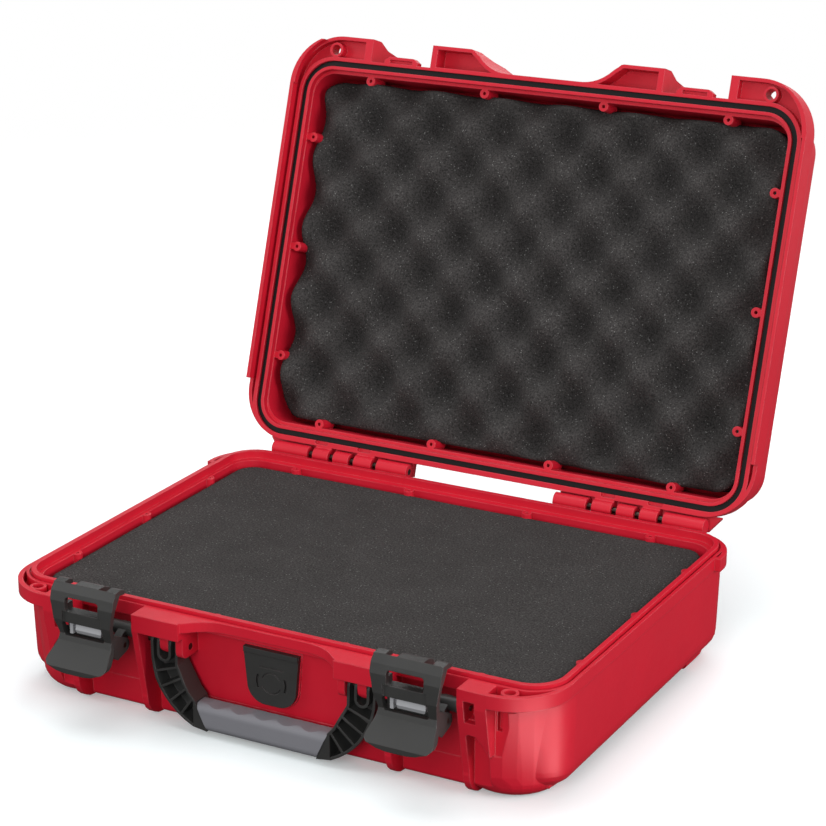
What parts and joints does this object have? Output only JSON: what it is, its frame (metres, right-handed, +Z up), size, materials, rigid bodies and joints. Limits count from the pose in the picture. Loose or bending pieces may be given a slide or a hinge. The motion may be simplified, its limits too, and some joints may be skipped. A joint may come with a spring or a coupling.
{
  "type": "hard carry case",
  "caption": "Small sealed hard carry case, shown open: foam-filled base, hinged lid with egg-crate foam, lever latches, swing handle and pressure vent.",
  "frame": {"origin": "on the floor, under the middle of the open case's box", "axes": "+X to the right seen from the front, +Y from the latches to the hinges, +Z up"},
  "size_m": [0.3616, 0.4252, 0.331],
  "materials": {
    "red_plastic": "fine moulded texture, satin",
    "black_plastic": "fine moulded texture, satin",
    "grip_rubber": "soft matt overmould",
    "slide_grey": "satin",
    "steel": "drawn pin",
    "foam": "open-cell foam",
    "seal_rubber": "smooth",
    "membrane": "thin breathing film"
  },
  "bodies": {
    "base": {"base_shell": "red_plastic", "base_foam": "foam", "base_foam_pad": "foam", "hinge_pin_left": "steel", "hinge_pin_right": "steel", "latch_base_pin_left": "steel", "latch_base_pin_right": "steel", "handle_pin_left": "steel", "handle_pin_right": "steel", "vent_cover": "black_plastic", "vent_body": "black_plastic", "vent_membrane": "membrane", "vent_o_ring": "seal_rubber", "vent_nut": "black_plastic"},
    "lid": {"lid_shell": "red_plastic", "lid_foam": "foam", "lid_gasket": "seal_rubber"},
    "handle": {"handle_frame": "black_plastic", "handle_grip": "grip_rubber"},
    "latch_link_left": {"latch_link_left": "black_plastic"},
    "latch_left": {"latch_lever_left": "black_plastic", "latch_slide_guide_left": "black_plastic", "latch_link_pin_left": "steel"},
    "slide_lock_left": {"latch_slider_left": "slide_grey"},
    "latch_link_right": {"latch_link_right": "black_plastic"},
    "latch_right": {"latch_lever_right": "black_plastic", "latch_slide_guide_right": "black_plastic", "latch_link_pin_right": "steel"},
    "slide_lock_right": {"latch_slider_right": "slide_grey"}
  },
  "joints": [
    {"name": "lid_hinge", "type": "hinge", "parent": "base", "child": "lid", "pos_m": [0, 0.09023, 0.069], "axis": [1, 0, 0], "range_deg": [0, 108.5]},
    {"name": "handle_swing", "type": "hinge", "parent": "base", "child": "handle", "pos_m": [0, -0.17297, 0.05], "axis": [1, 0, 0], "range_deg": [-90, 0]},
    {"name": "latch_link_left_swing", "type": "hinge", "parent": "base", "child": "latch_link_left", "pos_m": [-0.1035, -0.17677, 0.054], "axis": [1, 0, 0], "range_deg": [0, 73]},
    {"name": "latch_left_swing", "type": "hinge", "parent": "latch_link_left", "child": "latch_left", "pos_m": [-0.1035, -0.18627, 0.0485], "axis": [1, 0, 0], "range_deg": [-73, 0]},
    {"name": "slide_lock_left", "type": "slide", "parent": "latch_left", "child": "slide_lock_left", "axis": [-1, 0, 0], "range_m": [0, 0.0035]},
    {"name": "latch_link_right_swing", "type": "hinge", "parent": "base", "child": "latch_link_right", "pos_m": [0.1035, -0.17677, 0.054], "axis": [1, 0, 0], "range_deg": [0, 73]},
    {"name": "latch_right_swing", "type": "hinge", "parent": "latch_link_right", "child": "latch_right", "pos_m": [0.1035, -0.18627, 0.0485], "axis": [1, 0, 0], "range_deg": [-73, 0]},
    {"name": "slide_lock_right", "type": "slide", "parent": "latch_right", "child": "slide_lock_right", "axis": [-1, 0, 0], "range_m": [0, 0.0035]}
  ],
  "couplings": [
    {"joint": "latch_left_swing", "follows": "latch_link_left_swing", "ratio": -1},
    {"joint": "latch_right_swing", "follows": "latch_link_right_swing", "ratio": -1}
  ]
}
